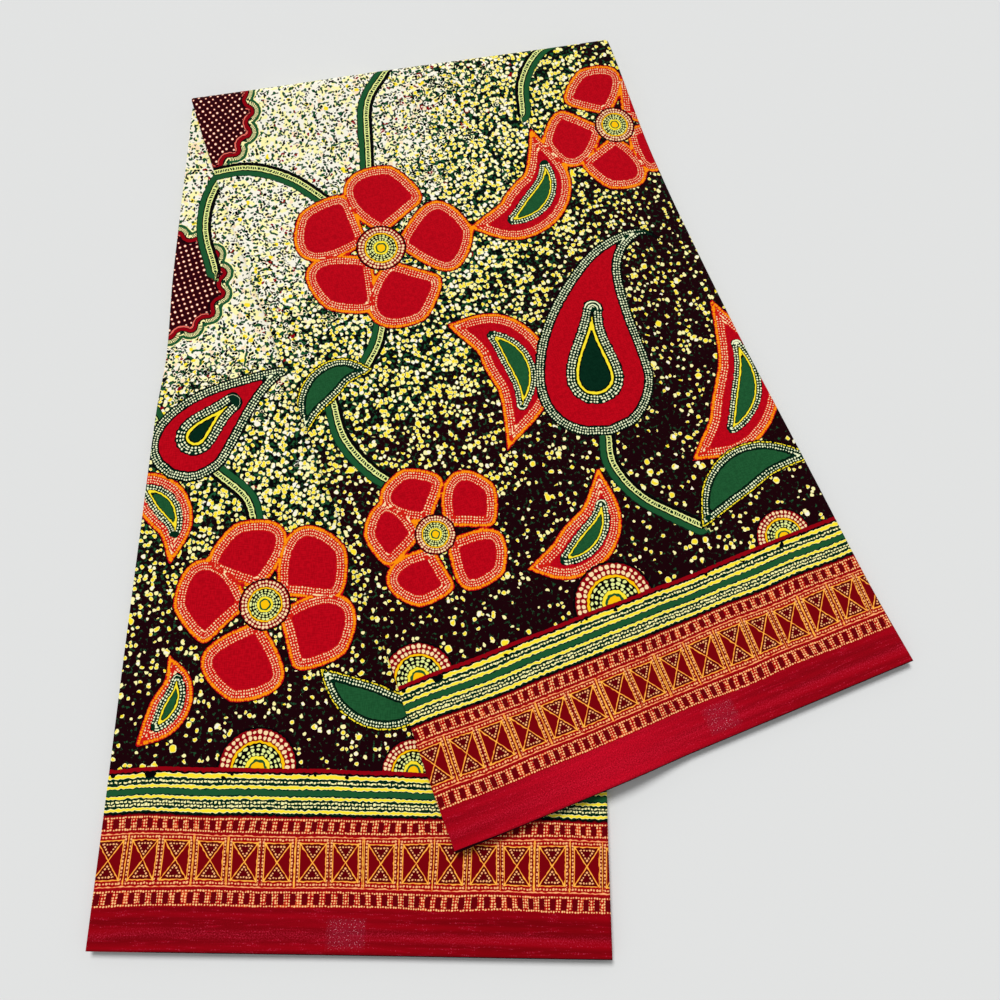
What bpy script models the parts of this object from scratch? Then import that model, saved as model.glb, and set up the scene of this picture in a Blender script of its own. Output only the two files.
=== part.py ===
"""A six-yard length of wax print cotton, sold folded: pleated across its length into a flat strip of
eighteen layers, then turned over once on a slanted line.

The lower leg lies flat on the surface. The upper leg lies on it, swung to the right, and its free side
settles onto the surface beside the lower leg. The layers inside each leg and inside the turn are one
rounded solid whose edges are cut into leaves. The layers that show whole are walls of their own.

Metres, +Z up, origin under the middle of the box around the part. Before that shift the lower leg's
bottom left corner is at (0, 0), X runs along its bottom edge and Y runs up its left side.
"""

import math

import bmesh
import bpy
import numpy as np

# The cloth, and how it is folded
CLOTH_WIDTH = 1.17
FOLDED_WIDTH = 0.3143
LEFT_LENGTH = 0.5928
RIGHT_LENGTH = 0.6548

# Heights
LEG_THICKNESS = 0.006
WALL = 0.001
GAP = 0.0003
HIDDEN_THICKNESS = LEG_THICKNESS - WALL - GAP
TURN_RADIUS = LEG_THICKNESS + GAP / 2
TURN_CORE = 0.0005

# The upper leg steps down to the surface just past the lower leg's right side
STEP_START = 0.006
STEP_LENGTH = 0.052

# The turn is puffed up, and the cloth lies in slow waves
PUFF = 0.18
PUFF_PLACE = 0.012
PUFF_REACH = 0.030
WAVES = (  # share of the height, metres a cycle along X, along Y, phase
    (0.030, 0.23, 0.41, 0.4),
    (0.022, -0.47, 0.19, 2.1),
)

# The rounded ends of the turn, and the leaves at the edges of the hidden layers
LEFT_CORNER = 0.0015
RIGHT_CORNER = 0.0035
LEAF_DEPTH = 0.0016
LEAF_INSETS = (0.0004, 0.0011, 0.0005, 0.0013, 0.0007)

# How far each side stands out from the straight strip: share of the leg's length, left, right
LOWER_SIDES = (
    (0.00, 0.0000, 0.0000),
    (0.14, -0.0004, -0.0020),
    (0.40, -0.0005, -0.0022),
    (0.58, -0.0012, -0.0015),
    (0.65, -0.0034, -0.0010),
    (0.76, -0.0008, 0.0000),
    (1.00, 0.0000, 0.0025),
)
UPPER_SIDES = (
    (0.00, 0.0004, 0.0040),
    (0.10, 0.0010, 0.0008),
    (0.25, -0.0004, -0.0008),
    (0.50, 0.0006, -0.0038),
    (0.80, 0.0028, -0.0028),
    (0.93, 0.0018, 0.0010),
    (1.00, 0.0004, 0.0027),
)

# Where the middle of the part's box is, before the part is moved there
BOX_MIDDLE = (0.2568, 0.3274)

# Faces along and across
LOWER_GRID = (12, 18)
UPPER_GRID = (16, 18)
TURN_GRID = (12, 10)

TURN_START = np.array((0.0, LEFT_LENGTH))
TURN_END = np.array((FOLDED_WIDTH, RIGHT_LENGTH))
ALONG = (TURN_END - TURN_START) / np.linalg.norm(TURN_END - TURN_START)
BEYOND = np.array((-ALONG[1], ALONG[0]))


def table_value(rows, column, at):
    """One column of a table at `at`, on a smooth curve through the rows (Catmull-Rom)."""
    places = [row[0] for row in rows]
    values = [row[column] for row in rows]
    i = max(k for k in range(len(rows) - 1) if places[k] <= max(at, 0.0))
    width = places[i + 1] - places[i]
    f = (min(at, 1.0) - places[i]) / width

    def slope(k):
        low, high = max(k - 1, 0), min(k + 1, len(rows) - 1)
        return width * (values[high] - values[low]) / (places[high] - places[low])

    return (
        (2 * f**3 - 3 * f**2 + 1) * values[i]
        + (f**3 - 2 * f**2 + f) * slope(i)
        + (3 * f**2 - 2 * f**3) * values[i + 1]
        + (f**3 - f**2) * slope(i + 1)
    )


def smooth_step(x):
    x = min(max(x, 0.0), 1.0)
    return x * x * (3 - 2 * x)


def below_turn(point):
    """Distance from the outermost line of the turn, back over the legs."""
    return -float((point - TURN_START) @ BEYOND)


def height_factor(point):
    """What every height over this place is multiplied by: slow waves, and the puff near the turn."""
    x, y = point
    factor = 1.0
    for share, cycle_x, cycle_y, phase in WAVES:
        factor += share * math.sin(math.tau * (x / cycle_x + y / cycle_y) + phase)
    puff = math.exp(-(((below_turn(point) - PUFF_PLACE) / PUFF_REACH) ** 2))
    return factor + PUFF * puff


def across(rows, share, u, inset):
    """Distance from the strip's left side at u (0 left, 1 right), with both sides drawn in by inset."""
    left = inset - table_value(rows, 1, share)
    right = FOLDED_WIDTH - inset + table_value(rows, 2, share)
    return left + u * (right - left)


def lower_length(s):
    """Length of the lower leg at distance s from its left side, up to the start of the turn."""
    slant = (RIGHT_LENGTH - LEFT_LENGTH) / FOLDED_WIDTH
    return LEFT_LENGTH + slant * s - (TURN_RADIUS + GAP / 2) / BEYOND[1]


def upper_length(s):
    """Length of the upper leg at distance s from its left side, up to the end of the turn."""
    set_back = (TURN_RADIUS + GAP / 2) / BEYOND[1]
    return CLOTH_WIDTH - lower_length(s) - 2 * set_back


def placed(point, height):
    """The point of the part over a place in plan, at a height in the evenly pressed stack."""
    return (
        point[0] - BOX_MIDDLE[0],
        point[1] - BOX_MIDDLE[1],
        height * height_factor(point),
    )


def on_lower_leg(u, v, height, inset=0.0):
    """u runs from left to right, v from the selvedge up to the turn."""
    s = across(LOWER_SIDES, v, u, inset)
    return placed((s, inset + v * (lower_length(s) - inset)), height)


def turned_over(s, y):
    """Where the strip's point (s, y) lies once the strip is turned over on the slanted line."""
    offset = np.array((s, y)) - TURN_START
    return TURN_START + 2 * (offset @ ALONG) * ALONG - offset


def on_upper_leg(u, v, height, inset=0.0):
    """u runs from left to right, v from the selvedge up to the turn. Height counts from what the leg rests on."""
    s = across(UPPER_SIDES, v, u, inset)
    point = turned_over(s, CLOTH_WIDTH - inset - v * (upper_length(s) - inset))
    step = smooth_step((point[0] - FOLDED_WIDTH - STEP_START) / STEP_LENGTH)
    return placed(point, (LEG_THICKNESS + GAP) * (1 - step) + height)


def on_turn(u, v, radius, inset=0.0):
    """u runs from left to right, v round the turn from its top (0) to its underside (1)."""
    angle = math.pi * (1 - v)
    bulge = math.sin(angle) ** 2
    low = across(LOWER_SIDES, 1.0, u, inset)
    high = across(UPPER_SIDES, 1.0, u, inset)
    s = low + (high - low) * angle / math.pi
    s += bulge * (LEFT_CORNER * (1 - u) - RIGHT_CORNER * u)
    lean = TURN_RADIUS * BEYOND[0] * (1 - 2 * angle / math.pi)
    along = (s + lean) / ALONG[0]
    back = GAP / 2 - TURN_RADIUS + radius * math.sin(angle)
    point = TURN_START + along * ALONG + back * BEYOND
    return placed(point, TURN_RADIUS - radius * math.cos(angle))


def leaf_levels(low, high):
    """Rim of a stack of leaves, from low to high: (level, how far the rim is drawn in)."""
    pitch = (high - low) / len(LEAF_INSETS)
    levels = []
    for i, inset in enumerate(LEAF_INSETS):
        start = low + i * pitch
        groove = LEAF_DEPTH if i else inset + 0.0003
        levels += [(start, groove), (start + 0.25 * pitch, inset), (start + 0.75 * pitch, inset)]
    return levels + [(high, LEAF_INSETS[-1] + 0.0003)]


def new_object(name, bm, material, collection):
    mesh = bpy.data.meshes.new(name)
    bm.to_mesh(mesh)
    bm.free()
    mesh.shade_smooth()
    mesh.set_sharp_from_angle(angle=math.radians(40))
    mesh.materials.append(material)
    obj = bpy.data.objects.new(name, mesh)
    collection.objects.link(obj)
    return obj


def wall(name, place, grid, material, collection):
    """A sheet of cloth whose outer face is place(u, v), thickened inwards."""
    bm = bmesh.new()
    bmesh.ops.create_grid(bm, x_segments=grid[0], y_segments=grid[1], size=0.5)
    for vertex in bm.verts:
        vertex.co = place(vertex.co.x + 0.5, vertex.co.y + 0.5)
    obj = new_object(name, bm, material, collection)
    solidify = obj.modifiers.new("cloth thickness", "SOLIDIFY")
    solidify.thickness = WALL
    solidify.offset = -1
    return obj


def leafed_block(name, place, levels, grid, material, collection):
    """A closed block, lofted through one ring of its rim for each level. The first and last rings hold a grid."""
    columns, rows = grid
    rim = [(i, 0) for i in range(columns)] + [(columns, j) for j in range(rows)]
    rim += [(i, rows) for i in range(columns, 0, -1)] + [(0, j) for j in range(rows, 0, -1)]
    bm = bmesh.new()

    def vertices(places, level):
        return {(i, j): bm.verts.new(place(i / columns, j / rows, *level)) for i, j in places}

    every_place = [(i, j) for i in range(columns + 1) for j in range(rows + 1)]
    rings = [vertices(every_place if level in (levels[0], levels[-1]) else rim, level) for level in levels]
    for face in (rings[0], rings[-1]):
        for i in range(columns):
            for j in range(rows):
                bm.faces.new([face[k] for k in ((i, j), (i + 1, j), (i + 1, j + 1), (i, j + 1))])
    for lower, upper in zip(rings, rings[1:]):
        for here, there in zip(rim, rim[1:] + rim[:1]):
            bm.faces.new((lower[here], lower[there], upper[there], upper[here]))
    bmesh.ops.recalc_face_normals(bm, faces=bm.faces)
    return new_object(name, bm, material, collection)


def cotton(name, colour):
    material = bpy.data.materials.new(name)
    material.use_nodes = True
    shader = material.node_tree.nodes["Principled BSDF"]
    shader.inputs["Base Color"].default_value = (*colour, 1)
    shader.inputs["Metallic"].default_value = 0.0
    shader.inputs["Roughness"].default_value = 0.75
    return material


def build():
    for obj in list(bpy.data.objects):
        bpy.data.objects.remove(obj, do_unlink=True)
    cloth = bpy.data.collections.new("folded_wax_print_cloth")
    bpy.context.scene.collection.children.link(cloth)
    face = cotton("printed_face", (0.16, 0.02, 0.02))
    edge = cotton("printed_edges", (0.30, 0.03, 0.03))
    turned = cotton("printed_turn", (0.55, 0.50, 0.30))

    leaves = leaf_levels(0.0, HIDDEN_THICKNESS)
    leafed_block("lower_leg_hidden_layers", on_lower_leg, leaves, LOWER_GRID, edge, cloth)
    wall("lower_leg_top_layer", lambda u, v: on_lower_leg(u, v, LEG_THICKNESS), LOWER_GRID, face, cloth)
    leafed_block("upper_leg_hidden_layers", on_upper_leg, leaves, UPPER_GRID, edge, cloth)
    wall("upper_leg_top_layer", lambda u, v: on_upper_leg(u, v, LEG_THICKNESS), UPPER_GRID, face, cloth)
    rings = leaf_levels(TURN_CORE, TURN_RADIUS - WALL - GAP)
    leafed_block("turn_hidden_layers", on_turn, rings, TURN_GRID, edge, cloth)
    wall("turn_outer_layer", lambda u, v: on_turn(u, v, TURN_RADIUS), TURN_GRID, turned, cloth)


build()
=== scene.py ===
"""A six-yard length of wax print cotton, pleated into a strip and turned over once, seen from above.

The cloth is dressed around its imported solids. Its top sheets are thin shells with the print on them, and
the layers under them are blocks whose rims show every layer, looped at the sides. The print is drawn in
the shader: outlines, dots and stripes come from formulas on the cloth's own coordinates, in millimetres,
and the larger motifs from distances to outlines that are worked out here on the sheets' grids.
"""

import logging
import math
from dataclasses import dataclass, field
from enum import Enum
from typing import Callable, Dict, List, Sequence, Tuple, Union

import bpy
import numpy as np
from mathutils import Matrix, Vector


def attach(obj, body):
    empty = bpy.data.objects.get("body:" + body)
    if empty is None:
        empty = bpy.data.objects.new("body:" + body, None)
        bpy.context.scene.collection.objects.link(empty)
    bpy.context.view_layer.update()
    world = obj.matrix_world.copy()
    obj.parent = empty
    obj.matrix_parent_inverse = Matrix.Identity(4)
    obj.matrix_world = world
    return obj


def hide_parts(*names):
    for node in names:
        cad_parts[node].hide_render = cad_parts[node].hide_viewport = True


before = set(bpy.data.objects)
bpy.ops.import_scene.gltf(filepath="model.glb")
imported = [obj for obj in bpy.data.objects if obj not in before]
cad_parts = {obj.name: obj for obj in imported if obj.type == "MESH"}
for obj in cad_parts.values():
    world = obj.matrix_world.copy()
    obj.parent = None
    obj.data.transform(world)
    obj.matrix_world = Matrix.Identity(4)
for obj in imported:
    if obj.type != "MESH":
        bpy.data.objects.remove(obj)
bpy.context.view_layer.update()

LOG = logging.getLogger("wax_print")
MM = 1000.0
# Millimetres from a motif: where its field ends, and how far past its own box it is worked out
REACH = 60.0
MARGIN = 14.0
# The most millimetres of travel along a line that one face may span
LONGEST_STEP = 9.0
# How many points are worked out at once
CHUNK = 3000
Array = np.ndarray
Place = Tuple[float, float]
Colour = Tuple[float, float, float, float]


# Shape of the folded cloth


def smooth_table(rows: Array, column: int, at: Array) -> Array:
    """One column of a table, on a smooth curve through its rows (Catmull-Rom).

    Args:
        rows: the table, whose first column is the place.
        column: which column is wanted.
        at: places from 0 to 1.

    Returns:
        The column's values at those places.
    """
    places, values = rows[:, 0], rows[:, column]
    count = len(places)
    low = np.maximum(np.arange(count) - 1, 0)
    high = np.minimum(np.arange(count) + 1, count - 1)
    slopes = (values[high] - values[low]) / (places[high] - places[low])
    at = np.clip(at, 0, 1)
    i = np.clip(np.searchsorted(places, at, side="right") - 1, 0, count - 2)
    width = places[i + 1] - places[i]
    f = (at - places[i]) / width
    return (
        (2 * f**3 - 3 * f**2 + 1) * values[i]
        + (f**3 - 2 * f**2 + f) * width * slopes[i]
        + (3 * f**2 - 2 * f**3) * values[i + 1]
        + (f**3 - f**2) * width * slopes[i + 1]
    )


def smooth_step(x: Array) -> Array:
    """0 below 0, 1 above 1, and 3x^2 - 2x^3 between them."""
    x = np.clip(x, 0, 1)
    return x * x * (3 - 2 * x)


@dataclass(frozen=True)
class FoldedStrip:
    """The pleated strip and how it is turned over, with the same sizes as its solids, in metres."""

    cloth_width: float = 1.17
    width: float = 0.3143
    left_length: float = 0.5928
    right_length: float = 0.6548
    thickness: float = 0.006
    gap: float = 0.0003
    turn_core: float = 0.0005
    step_start: float = 0.006
    step_length: float = 0.052
    puff: float = 0.18
    puff_place: float = 0.012
    puff_reach: float = 0.030
    left_corner: float = 0.0015
    right_corner: float = 0.0035
    box_middle: Place = (0.2568, 0.3274)
    layers: int = 18
    # where across the strip the legs' lengths are measured
    midway: float = 0.16
    # share of the height, metres a cycle along X, along Y, phase
    waves: Tuple[Tuple[float, float, float, float], ...] = (
        (0.030, 0.23, 0.41, 0.4),
        (0.022, -0.47, 0.19, 2.1),
    )
    # share of the leg's length, left, right
    lower_sides: Tuple[Tuple[float, float, float], ...] = (
        (0.00, 0.0000, 0.0000),
        (0.14, -0.0004, -0.0020),
        (0.40, -0.0005, -0.0022),
        (0.58, -0.0012, -0.0015),
        (0.65, -0.0034, -0.0010),
        (0.76, -0.0008, 0.0000),
        (1.00, 0.0000, 0.0025),
    )
    upper_sides: Tuple[Tuple[float, float, float], ...] = (
        (0.00, 0.0004, 0.0040),
        (0.10, 0.0010, 0.0008),
        (0.25, -0.0004, -0.0008),
        (0.50, 0.0006, -0.0038),
        (0.80, 0.0028, -0.0028),
        (0.93, 0.0018, 0.0010),
        (1.00, 0.0004, 0.0027),
    )

    @property
    def radius(self) -> float:
        """Outer radius of the turn."""
        return self.thickness + self.gap / 2

    @property
    def pitch(self) -> float:
        """Height of one layer in the stack."""
        return self.thickness / self.layers

    @property
    def start(self) -> Array:
        """Left end of the outermost line of the turn."""
        return np.array((0.0, self.left_length))

    @property
    def along(self) -> Array:
        """Unit vector along the turn, to the right."""
        line = np.array((self.width, self.right_length)) - self.start
        return line / np.linalg.norm(line)

    @property
    def beyond(self) -> Array:
        """Unit vector across the turn, away from the legs."""
        x, y = self.along
        return np.array((-y, x))

    def height_factor(self, x: Array, y: Array) -> Array:
        """What heights over a place are multiplied by: 1, plus sine waves, plus a bell near the turn.

        Args:
            x: metres right of the lower leg's bottom left corner.
            y: metres up from it.

        Returns:
            A factor for each place.
        """
        factor = np.ones(np.shape(x))
        for share, cycle_x, cycle_y, phase in self.waves:
            factor = factor + share * np.sin(math.tau * (x / cycle_x + y / cycle_y) + phase)
        below = -((x - self.start[0]) * self.beyond[0] + (y - self.start[1]) * self.beyond[1])
        return factor + self.puff * np.exp(-(((below - self.puff_place) / self.puff_reach) ** 2))

    def across(self, rows: Sequence, share: Array, u: Array, left: Array, right: Array) -> Array:
        """Distance from the strip's straight left side, evenly shared out between its two real sides.

        Args:
            rows: the table of how far the sides stand out.
            share: share of the leg's length.
            u: 0 on the left side, 1 on the right.
            left: how far the left side is drawn in.
            right: how far the right side is drawn in.

        Returns:
            Metres.
        """
        table = np.array(rows)
        low = left - smooth_table(table, 1, share)
        high = self.width - right + smooth_table(table, 2, share)
        return low + u * (high - low)

    def lower_length(self, s: Array) -> Array:
        """Length of the lower leg at distance s from its left side, up to the start of the turn."""
        slant = (self.right_length - self.left_length) / self.width
        return self.left_length + slant * s - (self.radius + self.gap / 2) / self.beyond[1]

    def upper_length(self, s: Array) -> Array:
        """Length of the upper leg at distance s from its left side, up to the end of the turn."""
        return self.cloth_width - self.lower_length(s) - 2 * (self.radius + self.gap / 2) / self.beyond[1]

    def placed(self, x: Array, y: Array, height: Array) -> Array:
        """Points over places in plan, at heights in the evenly pressed stack."""
        z = height * self.height_factor(x, y)
        return np.stack(np.broadcast_arrays(x - self.box_middle[0], y - self.box_middle[1], z), axis=-1)

    def lower_leg(self, u: Array, v: Array, height: Array, left: Array = 0.0, right: Array = 0.0,
                  end: Array = 0.0) -> Array:
        """Points of the lower leg: u from left to right, v from the selvedge up to the turn."""
        s = self.across(self.lower_sides, v, u, left, right)
        return self.placed(s, end + v * (self.lower_length(s) - end), height)

    def upper_leg(self, u: Array, v: Array, height: Array, left: Array = 0.0, right: Array = 0.0,
                  end: Array = 0.0) -> Array:
        """Points of the upper leg, which is the strip turned over on the slanted line.

        A turned place is twice its reach along the line, less its offset from the line's start.

        Args:
            u: 0 on the left side, 1 on the right.
            v: 0 at the selvedge, 1 at the turn.
            height: metres over what it rests on, and that steps down past the lower leg's right side.
            left: how far the left side is drawn in.
            right: how far the right side is drawn in.
            end: how far the selvedge is drawn in.

        Returns:
            (..., 3) points.
        """
        s = self.across(self.upper_sides, v, u, left, right)
        y = self.cloth_width - end - v * (self.upper_length(s) - end)
        dx, dy = s - self.start[0], y - self.start[1]
        reach = 2 * (dx * self.along[0] + dy * self.along[1])
        x = self.start[0] + reach * self.along[0] - dx
        y = self.start[1] + reach * self.along[1] - dy
        step = smooth_step((x - self.width - self.step_start) / self.step_length)
        return self.placed(x, y, (self.thickness + self.gap) * (1 - step) + height)

    def turn(self, u: Array, v: Array, radius: Array, left: Array = 0.0, right: Array = 0.0,
             end: Array = 0.0) -> Array:
        """Points of the turn, on half circles whose middles run along it, with both its ends rounded.

        Args:
            u: 0 on the left side, 1 on the right.
            v: 0 at the top of the turn, 1 at its underside.
            radius: metres from the middle of the half circle.
            left: how far the left side is drawn in.
            right: how far the right side is drawn in.
            end: nothing here, since the turn has no selvedge. All three stretches take the same values.

        Returns:
            (..., 3) points.
        """
        angle = math.pi * (1 - v)
        bulge = np.sin(angle) ** 2
        low = self.across(self.lower_sides, np.ones_like(v), u, left, right)
        high = self.across(self.upper_sides, np.ones_like(v), u, left, right)
        s = low + (high - low) * angle / math.pi
        s = s + bulge * (self.left_corner * (1 - u) - self.right_corner * u)
        lean = self.radius * self.beyond[0] * (1 - 2 * angle / math.pi)
        along = (s + lean) / self.along[0]
        back = self.gap / 2 - self.radius + radius * np.sin(angle)
        x = self.start[0] + along * self.along[0] + back * self.beyond[0]
        y = self.start[1] + along * self.along[1] + back * self.beyond[1]
        return self.placed(x, y, self.radius - radius * np.cos(angle))


@dataclass(frozen=True)
class Crease:
    """A soft ridge across a sheet, or a trough where its rise is negative, all in millimetres."""

    x: float
    y: float
    to_x: float
    to_y: float
    rise: float
    reach: float

    def height(self, x: Array, y: Array) -> Array:
        """Its rise times a bell of the distance from its line, times a sine from end to end.

        Args:
            x: millimetres across the sheet.
            y: millimetres up the sheet.

        Returns:
            Millimetres.
        """
        run = np.array((self.to_x - self.x, self.to_y - self.y))
        length = math.hypot(*run)
        along = ((x - self.x) * run[0] + (y - self.y) * run[1]) / length
        beside = ((x - self.x) * run[1] - (y - self.y) * run[0]) / length
        bell = np.exp(-((beside / self.reach) ** 2))
        return self.rise * bell * np.sin(math.pi * np.clip(along / length, 0, 1))


# Outlines of the print's motifs, in millimetres across and up each leg


def smooth_line(points: Sequence[Place], samples: int = 12) -> Array:
    """A Catmull-Rom curve through points.

    Args:
        points: the points that it passes through.
        samples: how many steps there are from one point to the next.

    Returns:
        The curve's points, as an (n, 2) array.
    """
    given = np.array(points, float)
    padded = np.vstack((2 * given[0] - given[1], given, 2 * given[-1] - given[-2]))
    t = np.linspace(0, 1, samples, endpoint=False)[None, :, None]
    a, b, c, d = (padded[k : k + len(given) - 1][:, None, :] for k in range(4))
    curve = 0.5 * (2 * b + (c - a) * t + (2 * a - 5 * b + 4 * c - d) * t**2 + (3 * b - a - 3 * c + d) * t**3)
    return np.vstack((curve.reshape(-1, 2), given[-1:]))


class Cut(Enum):
    """How a blade's width runs from its base to its tip."""

    LEAF = "leaf"
    PAISLEY = "paisley"
    PETAL = "petal"

    def width(self, travel: Array, length: float, half: float) -> Array:
        """Half width at each distance from the base.

        A leaf is a bowed sine, pointed at both ends. A paisley has a half-round head and a tail that
        narrows as half a cosine wave. A petal is narrow at its base and round at its tip.

        Args:
            travel: distances from the base, along the spine.
            length: the spine's length.
            half: the largest half width.

        Returns:
            Half widths.
        """
        t = travel / length
        if self is Cut.LEAF:
            return half * np.sin(math.pi * t**0.86) ** 1.16
        if self is Cut.PETAL:
            return half * np.sin(math.pi * t**1.35) ** 0.72
        head = np.sqrt(np.clip(1 - (1 - travel / half) ** 2, 0, 1))
        tail = 0.5 * (1 + np.cos(math.pi * np.clip((travel - half) / (length - half), 0, 1) ** 0.88))
        return half * np.where(travel < half, head, tail)


def travel_along(line: Array) -> Array:
    """Distance along a line at each of its points."""
    return np.concatenate(([0.0], np.cumsum(np.linalg.norm(np.diff(line, axis=0), axis=1))))


def blade(spine: Array, half: float, cut: Cut) -> Array:
    """A closed outline on both sides of a spine: spine plus and minus the width along its normal.

    Args:
        spine: (n, 2) points.
        half: the largest half width.
        cut: how the width runs from base to tip.

    Returns:
        (2n - 2, 2) points.
    """
    step = np.gradient(spine, axis=0)
    step /= np.linalg.norm(step, axis=1, keepdims=True)
    normal = np.stack((-step[:, 1], step[:, 0]), axis=1)
    travel = travel_along(spine)
    width = cut.width(travel, travel[-1], half)[:, None]
    return np.vstack((spine + width * normal, (spine - width * normal)[-2:0:-1]))


@dataclass(frozen=True)
class Spined:
    """A leaf or paisley with a core of the same form inside it.

    The core is a stretch of the spine, given by its start and end as shares, and its half width is a
    share of the form's.
    """

    points: Tuple[Place, ...]
    half: float
    cut: Cut = Cut.LEAF
    core: Tuple[float, float, float] = (0.26, 0.72, 0.29)

    def outline(self) -> Array:
        """The form's outline."""
        return blade(smooth_line(self.points), self.half, self.cut)

    def heart(self) -> Array:
        """The core's outline, on its own stretch of the spine.

        Returns:
            (n, 2) points.
        """
        spine = smooth_line(self.points, 30)
        travel = travel_along(spine)
        start, end, share = self.core
        at = np.linspace(start, end, 50) * travel[-1]
        inner = np.stack((np.interp(at, travel, spine[:, 0]), np.interp(at, travel, spine[:, 1])), axis=1)
        return blade(inner, self.half * share, self.cut)


@dataclass(frozen=True)
class Bloom:
    """An open flower: its centre, reach, number of petals and the first one's direction in degrees.

    The round centre, the petals' start and their half width are shares of the reach. `fullness` is how
    wide a petal is for its share of the circle, and `bend` how far its spine bows to one side.
    """

    x: float
    y: float
    reach: float
    count: int = 5
    turn: float = 0.0
    heart: float = 0.27
    start: float = 0.16
    fullness: float = 0.768
    bend: float = 0.06

    def outlines(self) -> List[Array]:
        """The petals' outlines. Sines of a petal's number make each a little different from the next.

        Returns:
            (n, 2) points for each petal.
        """
        found = []
        for k in range(self.count):
            angle = math.radians(self.turn + 360.0 * k / self.count + 3.0 * math.sin(2.3 * k + self.reach))
            out = np.array((math.cos(angle), math.sin(angle)))
            side = np.array((-out[1], out[0]))
            length = self.reach * (1 + 0.05 * math.sin(1.7 * k + self.turn))
            t = np.linspace(0, 1, 60)[:, None]
            bend = self.bend * self.reach * np.sin(math.pi * t) * math.sin(1.3 * k + self.turn)
            start = self.start * self.reach
            spine = np.array((self.x, self.y)) + out * (start + t * (length - start)) + side * bend
            half = self.fullness * math.sin(math.pi / self.count) * self.reach
            found.append(blade(spine, half, Cut.PETAL))
        return found


@dataclass(frozen=True)
class Disc:
    """A round centre or a fan of rings: its place and radius."""

    x: float
    y: float
    radius: float


@dataclass(frozen=True)
class Medallion:
    """A round panel with scallops: its place, radius, their number and their depth."""

    x: float
    y: float
    radius: float
    count: int
    depth: float

    def outline(self) -> Array:
        """Radius plus the depth times the size of a sine.

        Returns:
            (n, 2) points.
        """
        angle = np.linspace(0, math.tau, 40 * self.count, endpoint=False)
        r = self.radius + self.depth * np.abs(np.sin(angle * self.count / 2)) ** 0.8
        return np.stack((self.x + r * np.cos(angle), self.y + r * np.sin(angle)), axis=1)


@dataclass(frozen=True)
class LegPrint:
    """What is printed on the visible face of one leg, apart from what repeats over the whole cloth.

    The ground darkens with the distance from the top left corner, at (0, corner), where steps across
    count for `aslant` of themselves. Each row of `fade` is a distance and the darkness there. `dip` is
    how far the print dips at the left side. The selvedge also takes a painted sheen, painted lighter where
    the light falls on it, and `painted_sheen` is its strength at its best.
    `patch` holds the left, right, lower and upper edge of the selvedge's faint patch.
    """

    blooms: Tuple[Bloom, ...]
    leaves: Tuple[Spined, ...]
    green_leaves: Tuple[Spined, ...]
    paisleys: Tuple[Spined, ...]
    vines: Tuple[Tuple[Place, ...], ...]
    fans: Tuple[Disc, ...]
    medallions: Tuple[Medallion, ...]
    corner: float
    aslant: float
    fade: Tuple[Place, ...]
    dip: float
    painted_sheen: float
    patch: Tuple[float, float, float, float]

    def outlines(self) -> Dict[str, List[Array]]:
        """Works out every closed outline.

        Returns:
            Lists of (n, 2) points by the name of their field.
        """
        petals = [outline for bloom in self.blooms for outline in bloom.outlines()]
        return {
            "gold_rimmed": petals + [s.outline() for s in self.leaves],
            "green_rimmed": [s.outline() for s in self.paisleys],
            "green_forms": [s.outline() for s in self.green_leaves],
            "cores": [s.heart() for s in self.leaves],
            "drops": [s.heart() for s in self.paisleys],
            "panels": [m.outline() for m in self.medallions],
        }

    def hearts(self) -> List[Disc]:
        """The round centres of the flowers, and the fans."""
        return [Disc(b.x, b.y, b.reach * b.heart) for b in self.blooms] + list(self.fans)

    def darkness(self, x: Array, y: Array) -> Array:
        """0 where the ground is lightest, 1 where it is darkest."""
        away = np.hypot(x * self.aslant, self.corner - y)
        return np.interp(away, *zip(*self.fade))

    def printed_height(self, x: Array, y: Array) -> Array:
        """How high up the print a place is: near the left side the print dips, as a bell."""
        return y + self.dip * np.exp(-((x / 24.0) ** 2))

    def painted_sheen_at(self, x: Array) -> Array:
        """The painted sheen: how much lighter the selvedge is painted where the light falls on it, a bell about
        105 mm across, over a quarter of its height.
        """
        return self.painted_sheen * (0.25 + 0.75 * np.exp(-(((x - 105) / 75) ** 2)))

    def patch_at(self, x: Array, y: Array) -> Array:
        """1 inside the selvedge's patch, 0 outside it, with a ramp of 2 mm at its edges."""
        left, right, low, high = self.patch
        return np.prod([np.clip(side / 2.0, 0, 1) for side in (x - left, right - x, y - low, high - y)], axis=0)


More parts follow.
